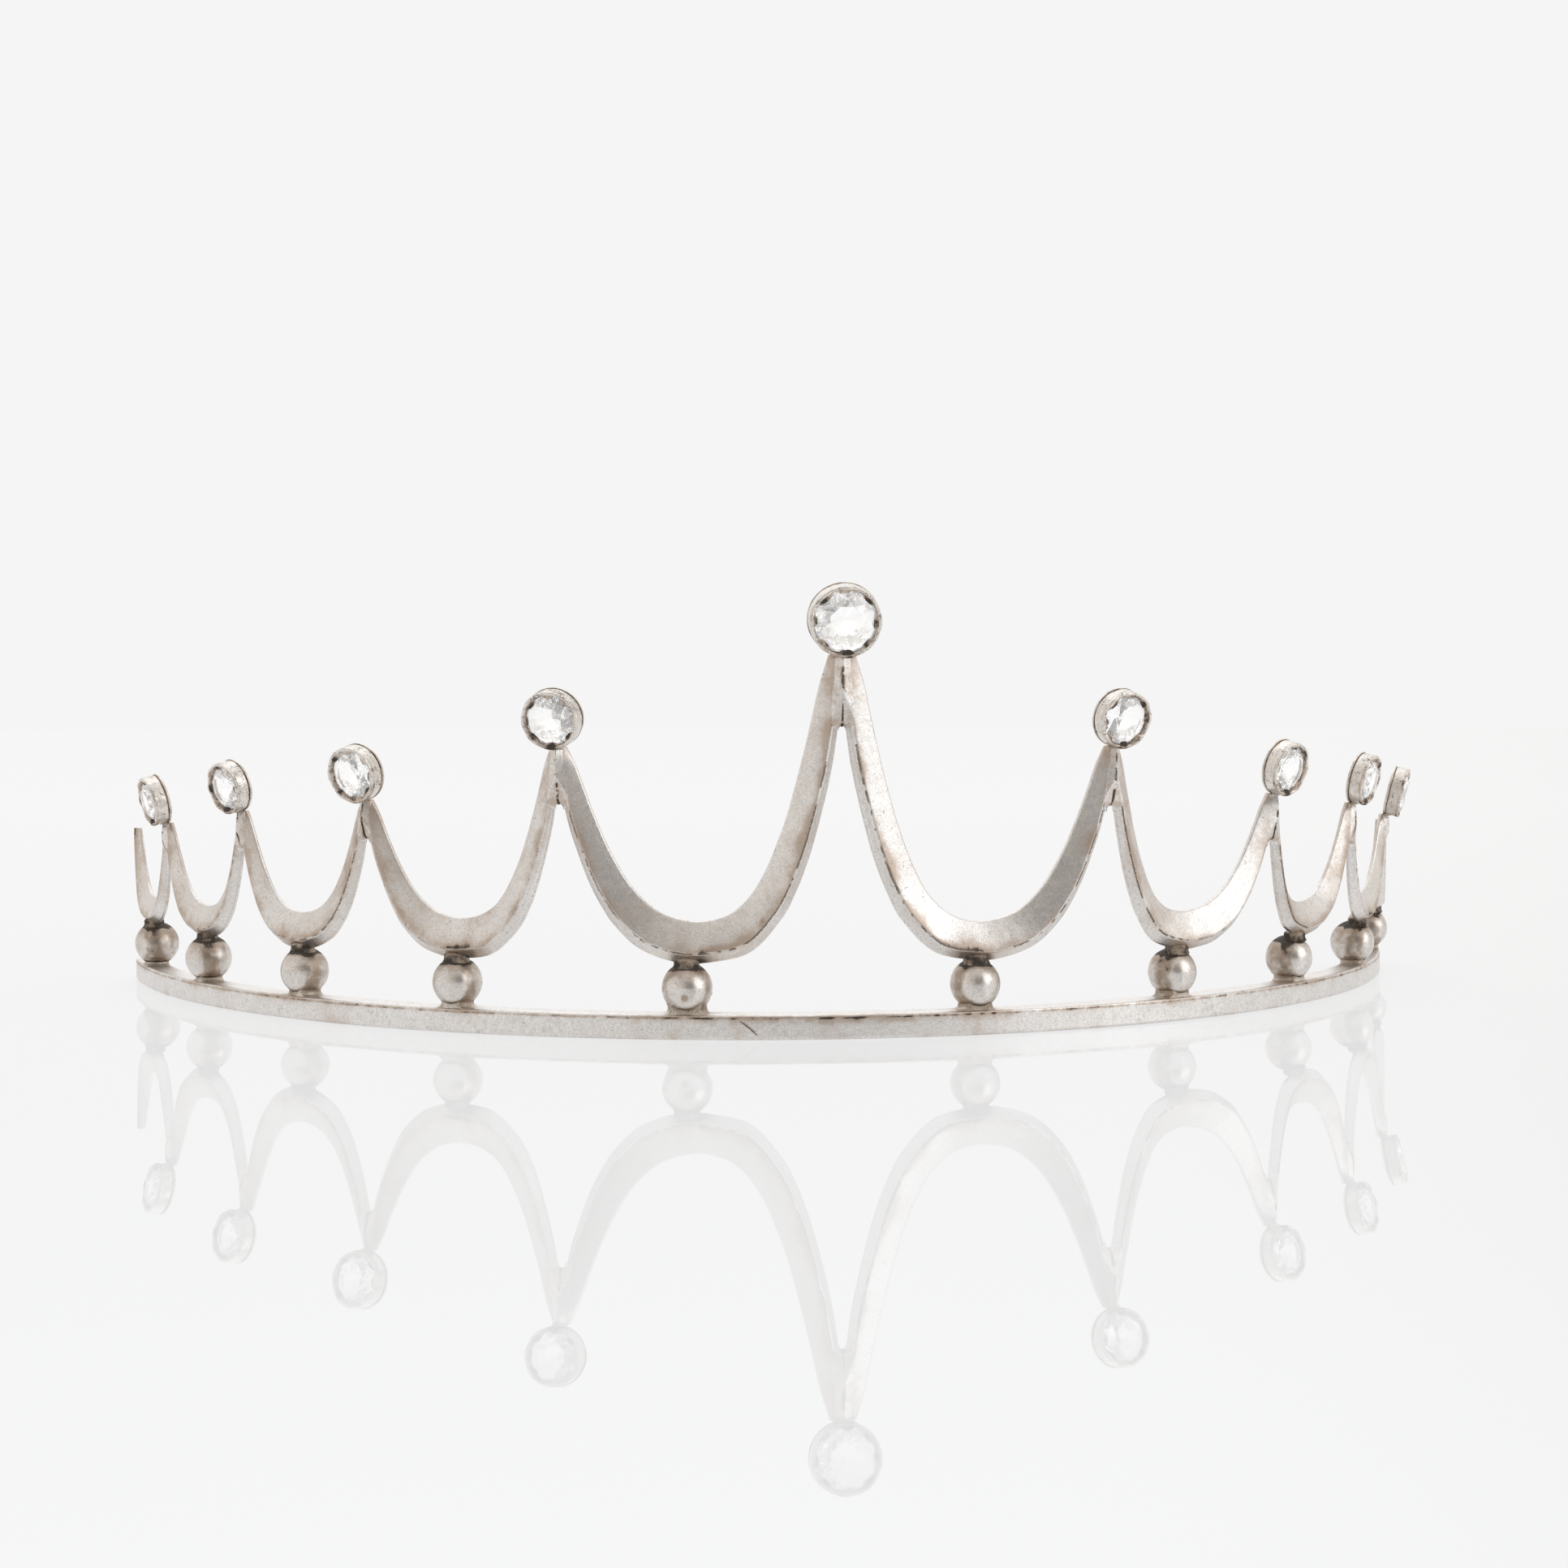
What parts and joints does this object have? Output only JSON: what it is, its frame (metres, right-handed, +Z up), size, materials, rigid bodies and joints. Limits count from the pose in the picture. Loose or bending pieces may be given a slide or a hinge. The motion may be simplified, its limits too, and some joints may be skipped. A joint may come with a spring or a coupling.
{
  "type": "crown",
  "caption": "Half-round silver diadem: flat band arc with beads carrying U-shaped swags, topped by clear round stones in collet settings at the peaks.",
  "frame": {"origin": "middle of the footprint on the resting plane, under the open arc", "axes": "+X across the head from the wearer's right to left as seen from the front, -Y to the front, +Z up"},
  "size_m": [0.1554, 0.066, 0.0445],
  "materials": {
    "band_silver": "satin silver, fine scratches, light tarnish",
    "swag_silver": "satin silver, fine pitting, tarnish at the seams",
    "ball_silver": "polished silver beads, cloudy tarnish",
    "setting_silver": "half-polished silver, grey tarnish in the scallops",
    "solder": "dark brownish soldered joint",
    "paste_stone": "clear faceted paste"
  },
  "bodies": {
    "root": {"apex_webs": "solder", "ball_left_1": "ball_silver", "ball_left_2": "ball_silver", "ball_left_3": "ball_silver", "ball_left_4": "ball_silver", "ball_left_5": "ball_silver", "ball_pegs": "solder", "ball_right_1": "ball_silver", "ball_right_2": "ball_silver", "ball_right_3": "ball_silver", "ball_right_4": "ball_silver", "ball_right_5": "ball_silver", "base_band": "band_silver", "bezel_back_centre": "setting_silver", "bezel_back_left_1": "setting_silver", "bezel_back_left_2": "setting_silver", "bezel_back_left_3": "setting_silver", "bezel_back_left_4": "setting_silver", "bezel_back_right_1": "setting_silver", "bezel_back_right_2": "setting_silver", "bezel_back_right_3": "setting_silver", "bezel_back_right_4": "setting_silver", "bezel_centre": "setting_silver", "bezel_left_1": "setting_silver", "bezel_left_2": "setting_silver", "bezel_left_3": "setting_silver", "bezel_left_4": "setting_silver", "bezel_right_1": "setting_silver", "bezel_right_2": "setting_silver", "bezel_right_3": "setting_silver", "bezel_right_4": "setting_silver", "lower_collars": "solder", "setting_stems": "solder", "stone_centre": "paste_stone", "stone_left_1": "paste_stone", "stone_left_2": "paste_stone", "stone_left_3": "paste_stone", "stone_left_4": "paste_stone", "stone_right_1": "paste_stone", "stone_right_2": "paste_stone", "stone_right_3": "paste_stone", "stone_right_4": "paste_stone", "swag_left_1": "swag_silver", "swag_left_2": "swag_silver", "swag_left_3": "swag_silver", "swag_left_4": "swag_silver", "swag_left_5": "swag_silver", "swag_right_1": "swag_silver", "swag_right_2": "swag_silver", "swag_right_3": "swag_silver", "swag_right_4": "swag_silver", "swag_right_5": "swag_silver", "upper_collars": "solder"}
  },
  "joints": []
}
